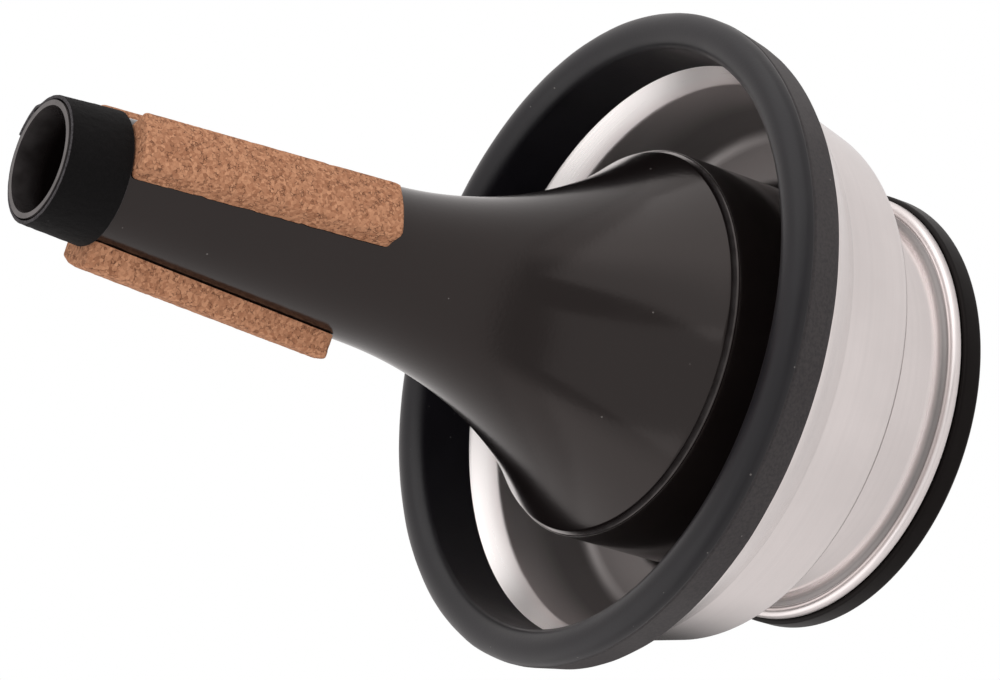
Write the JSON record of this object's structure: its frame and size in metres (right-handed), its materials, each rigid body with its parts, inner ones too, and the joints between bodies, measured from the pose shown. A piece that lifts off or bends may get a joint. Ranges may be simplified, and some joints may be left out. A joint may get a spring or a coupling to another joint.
{
  "type": "trumpet cup mute",
  "caption": "Trumpet mute standing on its base: a hollow cone with cork strips and a felt collar, and a sliding metal cup with a rubber-edged rim.",
  "frame": {"origin": "middle of the base's flat underside, on the mute's axis", "axes": "+Z along the mute's axis from the base to the small end; X and Y are across it, and the mute is nearly the same all round"},
  "size_m": [0.118, 0.118, 0.1642],
  "materials": {
    "black_plastic": "moulded, semi-gloss warm black",
    "spun_aluminium": "spun and finely brushed round the axis",
    "black_rubber": "satin black, cut back edge",
    "cork": "agglomerated cork granules",
    "black_felt": "pressed black felt"
  },
  "bodies": {
    "mute_body": {"body_shell": "black_plastic", "base_cap": "black_plastic", "cork_strip_1": "cork", "cork_strip_2": "cork", "cork_strip_3": "cork", "felt_collar": "black_felt"},
    "liner": {"neck_liner": "black_felt"},
    "cup": {"cup_shell": "spun_aluminium", "rim_rubber": "black_rubber"}
  },
  "joints": [
    {"name": "cup_slide", "type": "slide", "parent": "mute_body", "child": "liner", "axis": [0, 0, 1], "range_m": [0, 0.028]},
    {"name": "cup_turn", "type": "hinge", "parent": "liner", "child": "cup", "pos_m": [0, 0, 0.012], "axis": [0, 0, 1], "continuous": true}
  ]
}
